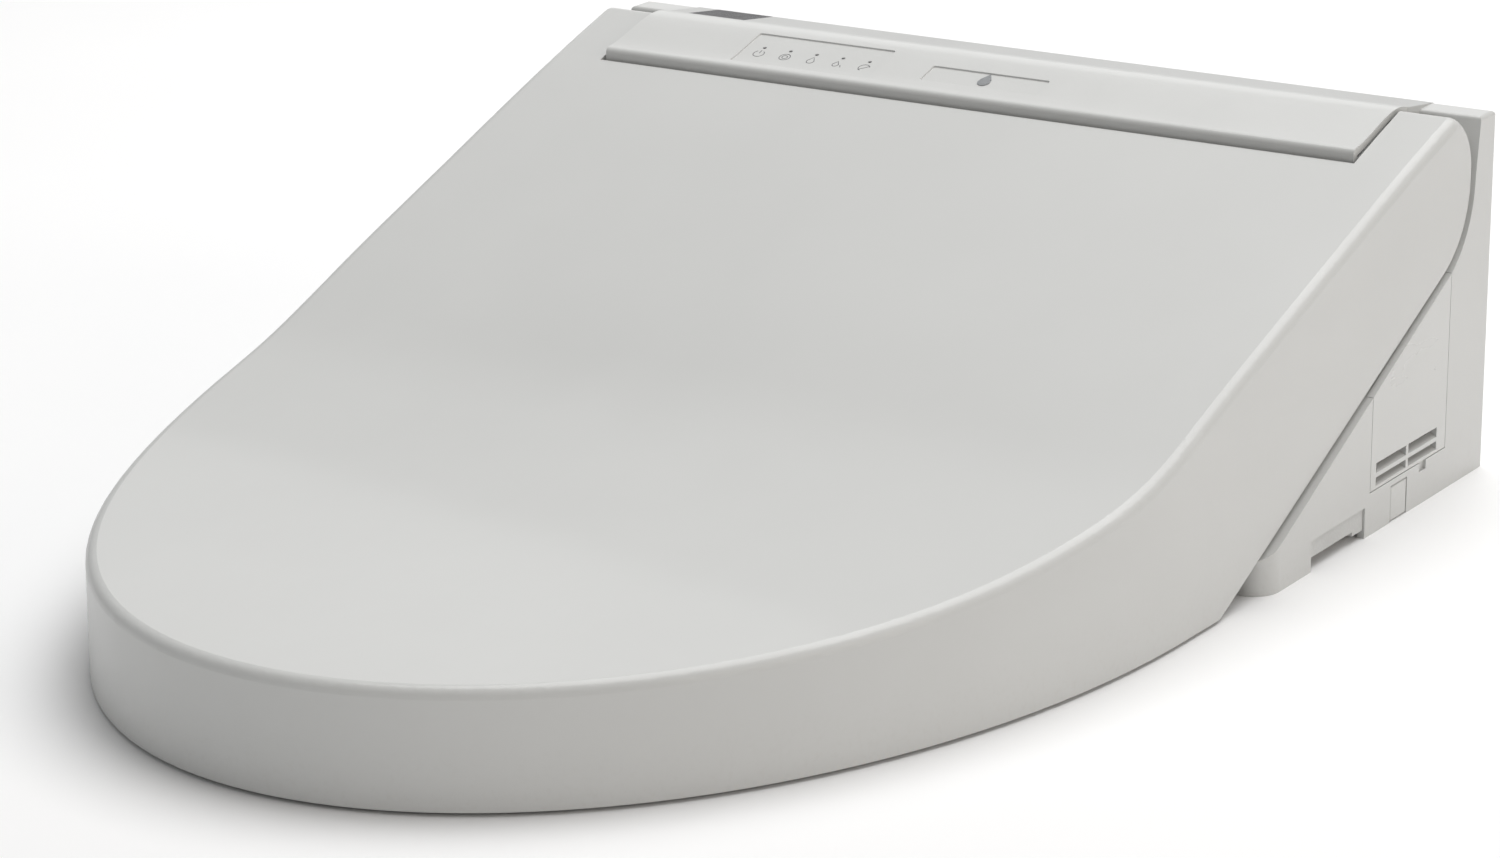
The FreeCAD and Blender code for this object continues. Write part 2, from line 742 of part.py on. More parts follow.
def slot_inserts():
    """Two adjusters that sit in the plate's slots and take the bolts."""
    inserts = []
    core = soften(box((BOLT_X - 17.8, BOLT_X + 17.8), (-10.3, 10.3), (0.2, 3)), 9.8, upright)
    flange = soften(box((BOLT_X - 21, BOLT_X + 21), (-14, 14), (3, 5)), 9.8, upright)
    insert = core.fuse(flange).cut(rod("z", -1, 8, BOLT_HOLE, BOLT_X, 0))
    inserts += both_sides(insert.removeSplitter())
    return Part.makeCompound(inserts)


# ---- side door, filter and button ----
LOUVRE_ROWS = [(18.5, 21.5), (23.5, 27.0)]
LOUVRE_COLUMNS = [(-41.0, -14.5), (-12.5, 13.0)]


def filter_door():
    """The side door with its louvres; its upper edge follows the line under the lid."""
    wall = across(cheek_outline(0), CASE_HALF - WALL, CASE_HALF)
    door = wall.common(door_zone(0, CASE_HALF - WALL - 0.3))
    for low, high in LOUVRE_ROWS:
        for front, rear in LOUVRE_COLUMNS:
            slot = box((CASE_HALF - 8, CASE_HALF + 3), (front, rear), (low, high))
            slot.rotate(V(CASE_HALF, 0, high), V(0, 1, 0), 25)
            door = door.cut(slot)
    return door


def filter_cartridge():
    """A carbon filter with square air channels, fixed to the door."""
    block = box((132, CASE_HALF - WALL), (-40, 14), (19.5, 44))
    for row in range(2):
        for column in range(5):
            y = -37.5 + 10.2 * column
            z = 22.0 + 10.5 * row
            block = block.cut(box((130, CASE_HALF), (y, y + 8.2), (z, z + 8.5)))
    return block


def filter_holder():
    """The sleeve that the filter slides in."""
    sleeve = box((129, CASE_HALF - WALL - 0.5), (-42.4, 16.4), (17.4, 46.4))
    sleeve = sleeve.cut(box((130.6, CASE_HALF), (-40.8, 14.8), (19.0, 44.8)))
    return sleeve.cut(rod("x", 120, 140, 11, FAN_Y, 32))


def release_button():
    wide = (BUTTON_Y - BUTTON_WIDE / 2, BUTTON_Y + BUTTON_WIDE / 2)
    button = box((178, CASE_HALF), wide, (0.4, BUTTON_HIGH))
    button = soften(button, 0.8, lambda edge: abs(middle_of(edge).x - CASE_HALF) < 1e-4)
    return button.cut(rod("x", 170, 187, 4.4, BUTTON_Y, 7))


def button_spring():
    """A coil spring behind the button, drawn at its pressed length."""
    helix = Part.makeHelix(2.6, 14.0, 3.0)
    ring = Part.Wire(Part.Circle(V(3.0, 0, 0), V(0, 1, 0), 0.45).toShape())
    coil = Part.Wire(helix).makePipeShell([ring], True, True)
    coil.rotate(V(0, 0, 0), V(0, 1, 0), 90)
    coil.translate(V(169.0, BUTTON_Y, 7))
    return coil


# ---- spray wand ----
def nozzle_tip():
    """The wand's rounded nose with its spray holes."""
    nose = rod("y", -2, 14, WAND_R, 0, 0)
    nose = soften(nose, 5.0, lambda edge: edge.Closed and middle_of(edge).y < 0)
    for n in range(3):
        nose = nose.cut(rod("z", 2, 12, 0.7, 0, 4.0 + 3.0 * n))
    return on_wand(nose)


def nozzle_wand():
    """The wand's body: a bore for the feed tube and a toothed rack on top."""
    tube = rod("y", 14.05, WAND_LENGTH, WAND_R, 0, 0)
    rack = box((-3, 3), (22, 138), (5, RACK_TOP - 3))
    body = tube.fuse(rack)
    pitch = math.pi * MODULE
    count = int(96 / pitch)
    for n in range(-1, count):
        middle = PINION_AT + pitch * (n + 0.5)
        body = body.fuse(rack_tooth(middle))
    body = body.cut(rod("y", 20, WAND_LENGTH + 1, FEED_R + 0.08, 0, 0))
    return on_wand(body.removeSplitter())


RACK_LINE = RACK_TOP - 1.3     # pitch line of the rack
FLANK = math.tan(math.radians(20))


def rack_tooth(middle):
    """One rack tooth with sloping flanks."""
    half = math.pi * MODULE / 4 - 0.16
    low = RACK_TOP - 3.05
    wide = half + (RACK_LINE - low) * FLANK
    narrow = half - (RACK_TOP - RACK_LINE) * FLANK
    left = [(middle - wide, low), (middle - narrow, RACK_TOP)]
    right = [(middle + narrow, RACK_TOP), (middle + wide, low)]
    points = left + right
    return polygon_across(points, -3, 3)


def involute(base, radius):
    """Angle that an involute has turned by a radius."""
    roll = math.sqrt(max((radius / base) ** 2 - 1, 0))
    return roll - math.atan(roll)


def drive_pinion():
    """A twelve-tooth pinion with involute flanks over the rack."""
    pitch_r = MODULE * TEETH / 2
    base = pitch_r * math.cos(math.radians(20))
    root, tip = pitch_r - 1.75, pitch_r + 1.2
    half = math.pi / 2 / TEETH - 0.16 / pitch_r
    lift = RACK_LINE + pitch_r
    points = []
    for n in range(TEETH):
        centre = -math.pi / 2 + 2 * math.pi * n / TEETH
        radii = [max(base, root) + (tip - max(base, root)) * k / 3 for k in range(4)]
        flank = [(r, half + involute(base, pitch_r) - involute(base, r)) for r in radii]
        points += [(root, centre - flank[0][1])] + [(r, centre - a) for r, a in flank]
        points += [(r, centre + a) for r, a in reversed(flank)] + [(root, centre + flank[0][1])]
    spots = [(PINION_AT + r * math.cos(a), lift + r * math.sin(a)) for r, a in points]
    gear = polygon_across(spots, -2.8, 2.8)
    hub = rod("x", -6, 13, 2.0, PINION_AT, lift)
    return on_wand(gear.fuse(hub).removeSplitter())


def nozzle_motor():
    lift = RACK_LINE + MODULE * TEETH / 2
    can = rod("x", 15, 36, 12.0, PINION_AT, lift)
    can = soften(can, 1.0, lambda edge: edge.Closed)
    lug = box((15, 17), (PINION_AT - 17, PINION_AT + 17), (lift - 4, lift + 4))
    motor = can.fuse(lug).cut(rod("x", 10, 24, 2.3, PINION_AT, lift))
    return on_wand(motor.removeSplitter())


def nozzle_rail():
    """The trough that guides the wand."""
    rail = box((-12, 12), (18, 152), (-11, 5))
    rail = rail.cut(box((-10, 10), (17, 149.5), (-9.4, 8)))
    guide = box((-11, 11), (18, 26), (-11, 10.5)).cut(rod("y", 10, 30, WAND_R + 0.3, 0, 0))
    guide = guide.cut(box((-3.6, 3.6), (17, 27), (0, 12)))
    rail = rail.fuse(guide)
    rail = rail.cut(rod("y", 149, 153, FEED_R, 0, 0))
    post = box((12, 14.8), (PINION_AT - 17, PINION_AT + 17), (-4, RACK_LINE + 18))
    post = post.cut(rod("x", 11, 16, 2.3, PINION_AT, RACK_LINE + MODULE * TEETH / 2))
    return on_wand(rail.fuse(post).removeSplitter())


def feed_tube():
    """A fixed tube that the wand slides over, which brings it water."""
    tube = rod("y", 25, 158, FEED_R, 0, 0)
    return on_wand(tube.cut(rod("y", 24, 159, 1.5, 0, 0)))


# ---- water path ----
def inlet_spigot():
    """The threaded water inlet, which points down, with its elbow."""
    stem = rod("z", 2, 20, INLET_R, INLET_X, INLET_Y)
    stem = soften(stem, 0.8, lambda edge: abs(middle_of(edge).z - 2) < 1e-4)
    body = stem.fuse(rod("z", 20, 40, 11.5, INLET_X, INLET_Y))
    body = body.fuse(rod("x", INLET_X, -151, 7.0, INLET_Y, 32))
    body = body.cut(rod("z", 1, 34, 6.5, INLET_X, INLET_Y))
    return body.cut(rod("x", INLET_X, -150, 4.5, INLET_Y, 32)).removeSplitter()


def inlet_strainer():
    """A mesh cup in the inlet's bore."""
    cup = rod("z", 5, 24, 6.3, INLET_X, INLET_Y).cut(rod("z", 4, 22.5, 5.3, INLET_X, INLET_Y))
    for n in range(4):
        slot = box((-8, 8), (-1.5, 1.5), (9, 19))
        slot.rotate(V(0, 0, 0), V(0, 0, 1), 45 * n)
        slot.translate(V(INLET_X, INLET_Y, 0))
        cup = cup.cut(slot)
    return cup


def solenoid_valve():
    body = box((-151, -120), (-12, 12), (22, 44))
    body = soften(body, 2.5, upright)
    coil = rod("z", 43, 70, 10.5, -136, 0)
    cap = rod("z", 70, 74, 6.0, -136, 0)
    lugs = box((-153.5, -116), (-3, 3), (22, 25))
    return join([body, coil, cap, lugs]).cut(rod("x", -152, -119, 4.0, 0, 32))


TANK = ((-108.0, -34.0), (-40.0, 28.0), (18.0, 76.0))


def heater_tank():
    (left, right), (front, rear), (low, high) = TANK
    tank = soften(box(*TANK), 6.0, upright)
    wall = 2.5
    inner = (left + wall, right - wall), (front + wall, rear - wall), (low + wall, high - wall)
    tank = tank.cut(soften(box(*inner), 4.0, upright))
    for n in range(3):
        z = low + 12 + 17 * n
        band = box((left - 1, right + 1), (front - 1, rear + 1), (z, z + 3))
        tank = tank.fuse(band.cut(box((left, right), (front, rear), (0, 100))))
    ports = rod("x", left - 6, left + 5, 5.0, 0, 32)
    tank = tank.fuse(ports).fuse(rod("y", front - 6, front + 5, 5.0, -90, 60))
    tank = tank.cut(rod("x", left - 7, left + 6, 3.2, 0, 32))
    return tank.cut(rod("y", front - 7, front + 6, 3.2, -90, 60)).removeSplitter()


def heater_element():
    """A bent heating rod inside the tank."""
    legs = []
    for x in (-88, -54):
        for y in (-22, 10):
            legs.append(rod("z", 26, 62, 3.0, x, y))
    for x in (-88, -54):
        legs.append(box((x - 3, x + 3), (-22, 10), (60, 66)))
    legs.append(box((-88, -54), (7, 13), (24, 29)))
    return join(legs)


def vacuum_breaker():
    """An air break on the way from the tank to the wand."""
    body = soften(box((-101, -79), (-66, -48), (40, 70)), 3.0, upright)
    cap = rod("z", 69, 76, 7.0, -90, -57)
    return join([body, cap])


def flow_selector():
    """A motor-driven valve that sets flow and direction."""
    body = soften(box((-64, -26), (-108, -78), (12, 34)), 2.5, upright)
    motor = rod("z", 33, 46, 11.0, -46, -93)
    return join([body, motor])


def inlet_hose():
    return rod("x", -120, -114, 4.4, 0, 32).cut(rod("x", -121, -113, 3.2, 0, 32))


def spray_hose():
    """From the air break down to the selector."""
    hose = pipe([(-90, -65, 50), (-88, -78, 44), (-78, -92, 30), (-63, -93, 24)], 3.6, 2.2)
    return hose.cut(vacuum_breaker()).cut(flow_selector())


def wand_hose():
    """From the selector up to the feed tube behind the wand."""
    hose = pipe([(-32, -79, 24), (-29, -60, 34), (-26, -10, 72), (-14, 24, 86), (0, 32, 80)], 3.4, 2.2)
    return hose.cut(flow_selector())


# ---- warm air dryer ----
def dryer_housing():
    """A round blower housing with its outlet to the front."""
    case = rod("z", 20, 47, DRYER_R, DRYER_X, DRYER_Y)
    mouth = box((DUCT[0], DUCT[1]), (-64, DRYER_Y), (22, 45))
    case = case.fuse(mouth)
    inner = rod("z", 21.8, 45.2, DRYER_R - 1.8, DRYER_X, DRYER_Y)
    inner = inner.fuse(box((DUCT[0] + 1.6, DUCT[1] - 1.6), (-65, DRYER_Y), (23.6, 43.4)))
    case = case.cut(inner)
    return case.cut(rod("z", 15, 25, 16, DRYER_X, DRYER_Y)).cut(rod("z", 40, 50, 3.0, DRYER_X, DRYER_Y))


def impeller(radius, low, high, blades):
    """A drum of blades on a disc, about Z."""
    disc = rod("z", high - 1.5, high, radius, 0, 0)
    hub = rod("z", low, high, 5.0, 0, 0)
    ring = rod("z", low, low + 1.5, radius, 0, 0).cut(rod("z", low - 1, low + 3, radius - 5, 0, 0))
    pieces = [disc, hub, ring]
    for n in range(blades):
        blade = box((radius - 5, radius - 0.4), (-0.6, 0.6), (low + 0.5, high - 0.5))
        blade.rotate(V(radius - 3, 0, 0), V(0, 0, 1), 30)
        blade.rotate(V(0, 0, 0), V(0, 0, 1), 360 * n / blades)
        pieces.append(blade)
    return join(pieces)


def dryer_impeller():
    wheel = impeller(27.0, 24.0, 42.0, 16).fuse(rod("z", 41, 58, 2.0, 0, 0))
    wheel.translate(V(DRYER_X, DRYER_Y, 0))
    return wheel.removeSplitter()


def dryer_motor():
    can = soften(rod("z", 47.2, 74, 14.0, DRYER_X, DRYER_Y), 1.2, lambda edge: edge.Closed)
    return can.cut(rod("z", 40, 60, 2.3, DRYER_X, DRYER_Y))


def duct_outline(wall):
    return [
        (-64.3 + (1 if wall else 0), 22 + wall),
        (-64.3 + (1 if wall else 0), 45 - wall),
        (-128.6 - (1 if wall else 0), 23.0 - wall),
        (-128.6 - (1 if wall else 0), 9.2 + wall),
    ]


def dryer_duct():
    duct = polygon_across(duct_outline(0), *DUCT)
    duct = duct.cut(polygon_across(duct_outline(1.6), DUCT[0] + 1.6, DUCT[1] - 1.6))
    pin = rod("x", DUCT[0] + 1, DUCT[1] - 1, 0.8, FLAP_Y, FLAP_Z)
    return duct.fuse(pin).removeSplitter()


def dryer_heater():
    """Heating ribbons on a frame across the duct."""
    frame = []
    for n in range(4):
        x = DUCT[0] + 6 + 7.2 * n
        frame.append(box((x, x + 0.8), (-90, -70), (24, 37)))
    frame.append(box((DUCT[0] + 2, DUCT[1] - 2), (-81, -79), (29, 32)))
    inner = polygon_across(duct_outline(2.0), DUCT[0] + 1.8, DUCT[1] - 1.8)
    return join(frame).common(inner)


def dryer_flap():
    """The shutter that hangs in the duct's mouth."""
    x = DUCT[0] + 2.4, DUCT[1] - 2.4
    leaf = box(x, (FLAP_Y - 0.7, FLAP_Y + 0.7), (13.6, FLAP_Z - 0.5))
    knuckle = rod("x", x[0], x[1], 1.5, FLAP_Y, FLAP_Z)
    return leaf.fuse(knuckle).cut(rod("x", x[0] - 1, x[1] + 1, 0.86, FLAP_Y, FLAP_Z)).removeSplitter()


# ---- deodoriser ----
def deodoriser_housing():
    case = box((100, 128.5), (FAN_Y - 23, FAN_Y + 23), (20, 66))
    case = soften(case, 4.0, lambda e: abs(abs(e.tangentAt(e.FirstParameter).x) - 1) < 1e-6)
    case = case.cut(rod("x", 102, 126.8, 20.5, FAN_Y, FAN_Z))
    case = case.cut(rod("x", 99, 105, 3.0, FAN_Y, FAN_Z))
    return case.cut(rod("x", 120, 130, 11, FAN_Y, 32)).cut(box((106, 120), (-50, FAN_Y), (50, 62)))


def deodoriser_fan():
    wheel = impeller(17.0, 0.0, 14.0, 11).fuse(rod("z", -20, 1, 2.0, 0, 0))
    wheel.rotate(V(0, 0, 0), V(0, 1, 0), 90)
    wheel.translate(V(108, FAN_Y, FAN_Z))
    return wheel.removeSplitter()


def deodoriser_motor():
    can = rod("x", 85.5, 99.6, 11.0, FAN_Y, FAN_Z)
    can = soften(can, 1.0, lambda edge: edge.Closed)
    lug = box((97.6, 99.6), (FAN_Y - 16, FAN_Y + 16), (FAN_Z + 2, FAN_Z + 8))
    return can.fuse(lug).cut(rod("x", 87, 101, 2.3, FAN_Y, FAN_Z)).removeSplitter()


# ---- electric parts ----
def control_board():
    """The circuit board with its larger components."""
    board = box((-104, 104), (0, 50), (100, 101.6))
    tall = [
        ((-90, -62), (10, 36), 18),
        ((-50, -38), (14, 26), 14),
        ((-30, -10), (8, 40), 5),
        ((10, 34), (12, 40), 12),
        ((48, 60), (10, 22), 16),
        ((48, 60), (28, 40), 16),
        ((72, 98), (12, 30), 9),
    ]
    parts = [board] + [box(x, y, (101, 101.6 + high)) for x, y, high in tall]
    return join(parts)


def damper(side):
    """A rotary damper that slows the lid or the seat."""
    can = rod("x", 116, 159, 10.5, HINGE_Y, HINGE_Z - 0)
    can = soften(can, 1.0, lambda edge: edge.Closed)
    can = can.common(box((110, 170), (HINGE_Y - 12, HINGE_Y + 12), (HINGE_Z - 12, HINGE_Z + 8)))
    can = can.cut(rod("x", 122, 170, SHAFT + 0.08, HINGE_Y, HINGE_Z))
    return both_sides(can)[0 if side > 0 else 1]


def cord_gland():
    """The bush where the supply cord leaves the rear face."""
    bush = rod("y", 46, CASE_REAR, 8.6, *GLAND)
    collar = rod("y", 44, 46.5, 10.5, *GLAND)
    return join([bush, collar]).cut(rod("y", 40, 60, 3.6, *GLAND))


NODES = {
    "lid_shell": lid_shell,
    "lid_bumpers": lid_bumpers,
    "lid_shaft": lambda: shaft(-1),
    "seat_top": seat_top,
    "seat_bottom": seat_bottom,
    "seat_heater": seat_heater,
    "seat_bumpers": seat_bumpers,
    "seat_shaft": lambda: shaft(1),
    "upper_case": upper_case,
    "top_cover": top_cover,
    "receiver_window": receiver_window,
    "indicator_lenses": indicator_lenses,
    "badge_plate": badge_plate,
    "lower_case": lower_case,
    "case_screws": case_screws,
    "foot_pads": foot_pads,
    "mounting_plate": mounting_plate,
    "slot_inserts": slot_inserts,
    "filter_door": filter_door,
    "filter_cartridge": filter_cartridge,
    "filter_holder": filter_holder,
    "release_button": release_button,
    "button_spring": button_spring,
    "nozzle_tip": nozzle_tip,
    "nozzle_wand": nozzle_wand,
    "drive_pinion": drive_pinion,
    "nozzle_motor": nozzle_motor,
    "nozzle_rail": nozzle_rail,
    "feed_tube": feed_tube,
    "inlet_spigot": inlet_spigot,
    "inlet_strainer": inlet_strainer,
    "solenoid_valve": solenoid_valve,
    "heater_tank": heater_tank,
    "heater_element": heater_element,
    "vacuum_breaker": vacuum_breaker,
    "flow_selector": flow_selector,
    "inlet_hose": inlet_hose,
    "spray_hose": spray_hose,
    "wand_hose": wand_hose,
    "dryer_housing": dryer_housing,
    "dryer_impeller": dryer_impeller,
    "dryer_motor": dryer_motor,
    "dryer_duct": dryer_duct,
    "dryer_heater": dryer_heater,
    "dryer_flap": dryer_flap,
    "deodoriser_housing": deodoriser_housing,
    "deodoriser_fan": deodoriser_fan,
    "deodoriser_motor": deodoriser_motor,
    "control_board": control_board,
    "lid_damper": lambda: damper(-1),
    "seat_damper": lambda: damper(1),
    "cord_gland": cord_gland,
}

os.makedirs("parts", exist_ok=True)
for name, make in NODES.items():
    shape = make()
    shape.exportStep("parts/" + name + ".step")
    size = shape.BoundBox
    solids = len(shape.Solids)
    print(f"{name}: {solids} solids, valid {shape.isValid()}, volume {shape.Volume:.0f},"
          f" x {size.XMin:.1f}..{size.XMax:.1f} y {size.YMin:.1f}..{size.YMax:.1f}"
          f" z {size.ZMin:.1f}..{size.ZMax:.1f}")
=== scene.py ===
import json
import math

import bmesh
import bpy
from mathutils import Matrix, Vector


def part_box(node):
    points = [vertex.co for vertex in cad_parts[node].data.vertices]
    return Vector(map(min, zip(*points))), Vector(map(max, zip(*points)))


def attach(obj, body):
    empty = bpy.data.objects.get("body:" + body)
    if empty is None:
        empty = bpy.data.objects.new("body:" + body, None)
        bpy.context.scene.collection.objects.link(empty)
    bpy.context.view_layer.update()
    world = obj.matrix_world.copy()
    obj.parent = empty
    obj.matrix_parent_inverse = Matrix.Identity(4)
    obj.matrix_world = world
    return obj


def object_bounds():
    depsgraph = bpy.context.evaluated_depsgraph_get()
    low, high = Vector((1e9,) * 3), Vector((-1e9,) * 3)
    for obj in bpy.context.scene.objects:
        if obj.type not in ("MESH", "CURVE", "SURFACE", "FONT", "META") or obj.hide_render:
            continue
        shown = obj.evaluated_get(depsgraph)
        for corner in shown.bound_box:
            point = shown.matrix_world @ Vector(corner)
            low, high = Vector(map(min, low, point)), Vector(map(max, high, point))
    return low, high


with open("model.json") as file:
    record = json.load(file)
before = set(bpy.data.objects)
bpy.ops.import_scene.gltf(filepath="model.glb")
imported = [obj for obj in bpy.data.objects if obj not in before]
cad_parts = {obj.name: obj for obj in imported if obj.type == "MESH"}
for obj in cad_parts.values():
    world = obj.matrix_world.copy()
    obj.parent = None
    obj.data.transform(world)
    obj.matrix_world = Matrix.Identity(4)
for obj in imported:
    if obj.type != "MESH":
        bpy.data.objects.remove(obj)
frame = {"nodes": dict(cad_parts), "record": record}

# The looks of an electric bidet seat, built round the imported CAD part: a procedural finish
# for every CAD node, the marks on the fixed cover, and a pale studio with soft lights.
# Metres, in the same frame as the CAD part.

CAD_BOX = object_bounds()
LOW, HIGH = CAD_BOX
MM = 0.001


# ---- node helpers ----
class Shader:
    """A material with its node tree and its one glossy shader."""

    def __init__(self, name):
        self.material = bpy.data.materials.new(name)
        self.material.use_nodes = True
        self.nodes = self.material.node_tree.nodes
        self.links = self.material.node_tree.links
        self.surface = self.nodes["Principled BSDF"]
        self.place = self.nodes.new("ShaderNodeTexCoord").outputs["Object"]

    def set(self, **values):
        """Plain values on the glossy shader's own sockets."""
        for key, value in values.items():
            self.surface.inputs[key.replace("_", " ")].default_value = value

    def stretched(self, x, y, z):
        """Object coordinates scaled by different amounts along each axis."""
        mapping = self.nodes.new("ShaderNodeMapping")
        mapping.inputs["Scale"].default_value = (x, y, z)
        self.links.new(self.place, mapping.inputs["Vector"])
        return mapping.outputs["Vector"]

    def noise(self, scale, detail=4.0, vector=None, roughness=0.5):
        node = self.nodes.new("ShaderNodeTexNoise")
        node.inputs["Scale"].default_value = scale
        node.inputs["Detail"].default_value = detail
        node.inputs["Roughness"].default_value = roughness
        self.links.new(vector or self.place, node.inputs["Vector"])
        return node.outputs["Fac"]

    def cells(self, scale, feature="F1", vector=None):
        node = self.nodes.new("ShaderNodeTexVoronoi")
        node.feature = feature
        node.inputs["Scale"].default_value = scale
        self.links.new(vector or self.place, node.inputs["Vector"])
        return node.outputs["Distance"]

    def waves(self, scale, direction="X", distortion=0.0):
        node = self.nodes.new("ShaderNodeTexWave")
        node.bands_direction = direction
        node.inputs["Scale"].default_value = scale
        node.inputs["Distortion"].default_value = distortion
        self.links.new(self.place, node.inputs["Vector"])
        return node.outputs["Fac"]

    def height(self, low, high):
        """0 at one height over the floor and 1 at another."""
        parts = self.nodes.new("ShaderNodeSeparateXYZ")
        self.links.new(self.place, parts.inputs["Vector"])
        return self.spread(parts.outputs["Z"], 0.0, 1.0, low, high)

    def spread(self, value, low, high, from_low=0.3, from_high=0.7):
        """A value in a new range."""
        node = self.nodes.new("ShaderNodeMapRange")
        node.inputs["From Min"].default_value = from_low
        node.inputs["From Max"].default_value = from_high
        node.inputs["To Min"].default_value = low
        node.inputs["To Max"].default_value = high
        self.links.new(value, node.inputs["Value"])
        return node.outputs["Result"]

    def times(self, a, b):
        node = self.nodes.new("ShaderNodeMath")
        node.operation = "MULTIPLY"
        for value, socket in ((a, node.inputs[0]), (b, node.inputs[1])):
            if isinstance(value, (int, float)):
                socket.default_value = value
            else:
                self.links.new(value, socket)
        return node.outputs["Value"]

    def mix(self, amount, a, b):
        """A colour between two colours, or colour outputs."""
        node = self.nodes.new("ShaderNodeMix")
        node.data_type = "RGBA"
        self.links.new(amount, node.inputs["Factor"])
        for value, socket in ((a, node.inputs[6]), (b, node.inputs[7])):
            if isinstance(value, tuple):
                socket.default_value = (*value, 1.0)
            else:
                self.links.new(value, socket)
        return node.outputs[2]

    def colour(self, output):
        self.links.new(output, self.surface.inputs["Base Color"])

    def roughness(self, output):
        self.links.new(output, self.surface.inputs["Roughness"])

    def bump(self, output, depth):
        """Relief of a depth in metres, added to any relief already there."""
        node = self.nodes.new("ShaderNodeBump")
        node.inputs["Distance"].default_value = depth
        self.links.new(output, node.inputs["Height"])
        taken = self.surface.inputs["Normal"].links
        if taken:
            self.links.new(taken[0].from_socket, node.inputs["Normal"])
        self.links.new(node.outputs["Normal"], self.surface.inputs["Normal"])


def scaled(colour, amount):
    return tuple(c * amount for c in colour)


# ---- finishes ----
OFF_WHITE = (0.60, 0.604, 0.592)
DUST = (0.42, 0.40, 0.36)


def smooth_plastic(name, colour, roughness, coat=0.25):
    """Moulded plastic with a soft gloss, faint flow marks and a little dust low down."""
    look = Shader(name)
    flow = look.spread(look.noise(9.0, 3.0), 0.0, 1.0)
    base = look.mix(flow, scaled(colour, 0.985), scaled(colour, 1.015))
    low = look.spread(look.height(LOW.z, LOW.z + 30 * MM), 1.0, 0.0, 0.0, 1.0)
    specks = look.spread(look.noise(420.0, 5.0), 0.0, 0.1, 0.52, 0.72)
    look.colour(look.mix(look.times(low, specks), base, DUST))
    wipe = look.noise(34.0, 6.0, look.stretched(1.0, 0.35, 1.0))
    look.roughness(look.spread(wipe, roughness * 0.88, roughness * 1.14))
    look.bump(look.noise(950.0, 3.0), 0.006 * MM)
    look.bump(look.noise(26.0, 2.0), 0.012 * MM)
    look.set(Coat_Weight=coat, Coat_Roughness=0.08, Specular_IOR_Level=0.35)
    return look.material


def grained_plastic(name, colour, roughness, grain=0.05):
    """Plastic with a moulded leather-like grain."""
    look = Shader(name)
    tone = look.spread(look.noise(16.0, 5.0), 0.0, 1.0)
    pits = look.cells(900.0)
    base = look.mix(tone, scaled(colour, 0.94), scaled(colour, 1.06))
    look.colour(look.mix(look.spread(pits, 0.0, 0.35, 0.0, 0.6), base, scaled(colour, 0.8)))
    look.roughness(look.spread(look.noise(60.0, 5.0), roughness * 0.85, roughness * 1.15))
    look.bump(pits, grain * MM)
    look.bump(look.noise(300.0, 4.0), 0.02 * MM)
    return look.material


def tinted_window(name, colour):
    """Dark see-through plastic over the receiver, with fine wipe marks."""
    look = Shader(name)
    depth = look.spread(look.noise(70.0, 4.0), 0.0, 1.0)
    look.colour(look.mix(depth, scaled(colour, 0.85), scaled(colour, 1.2)))
    marks = look.noise(220.0, 6.0, look.stretched(1.0, 0.15, 1.0))
    look.roughness(look.spread(marks, 0.07, 0.16))
    look.bump(look.noise(40.0, 2.0), 0.02 * MM)
    look.set(Specular_IOR_Level=0.3)
    return look.material


def light_guide(name, colour):
    """Milky light guides, a little darker than the cover."""
    look = Shader(name)
    core = look.spread(look.noise(1800.0, 3.0), 0.0, 1.0)
    look.colour(look.mix(core, scaled(colour, 0.8), scaled(colour, 1.2)))
    look.roughness(look.spread(look.noise(900.0, 3.0), 0.25, 0.4))
    look.bump(look.noise(2500.0, 2.0), 0.01 * MM)
    return look.material


def soft_rubber(name, colour):
    look = Shader(name)
    bloom = look.spread(look.noise(45.0, 6.0), 0.0, 1.0)
    look.colour(look.mix(bloom, scaled(colour, 0.86), scaled(colour, 1.1)))
    look.roughness(look.spread(look.noise(240.0, 5.0), 0.6, 0.85))
    look.bump(look.noise(1400.0, 4.0), 0.04 * MM)
    look.set(Specular_IOR_Level=0.35)
    return look.material


def turned_metal(name, colour, roughness, along="X"):
    """Drawn or turned metal with fine lines across its length."""
    look = Shader(name)
    pull = {"X": (40.0, 2600.0, 2600.0), "Z": (2600.0, 2600.0, 40.0)}[along]
    lines = look.noise(1.0, 3.0, look.stretched(*pull))
    stain = look.spread(look.noise(30.0, 6.0), 0.0, 1.0)
    base = look.mix(stain, scaled(colour, 0.82), scaled(colour, 1.08))
    look.colour(look.mix(look.spread(lines, 0.0, 0.3), base, scaled(colour, 0.7)))
    look.roughness(look.spread(lines, roughness * 0.8, roughness * 1.35))
    look.bump(lines, 0.008 * MM)
    look.set(Metallic=1.0)
    return look.material


def crinkled_foil(name, colour):
    look = Shader(name)
    folds = look.cells(130.0, "DISTANCE_TO_EDGE")
    ribbon = look.waves(60.0, "Y", 2.0)
    # The fold edges, where the bump sinks the creases, are painted darker: painted shade in the
    # creases.
    base = look.mix(look.spread(folds, 0.0, 1.0, 0.0, 0.2), scaled(colour, 0.75), colour)
    look.colour(look.mix(look.spread(ribbon, 0.0, 0.2), base, scaled(colour, 0.6)))
    look.roughness(look.spread(look.noise(90.0, 4.0), 0.22, 0.42))
    look.bump(folds, 0.25 * MM)
    look.bump(ribbon, 0.15 * MM)
    look.set(Metallic=1.0)
    return look.material


def pierced_steel(name, colour):
    look = Shader(name)
    warp = look.waves(700.0, "X")
    weft = look.waves(700.0, "Z")
    weave = look.times(warp, weft)
    # The low parts of the weave, between the raised crossings, are painted dark: painted shade where
    # the openings of the mesh would be.
    look.colour(look.mix(weave, scaled(colour, 0.35), scaled(colour, 1.1)))
    look.roughness(look.spread(weave, 0.5, 0.25, 0.0, 1.0))
    look.bump(weave, 0.2 * MM)
    look.set(Metallic=1.0)
    return look.material


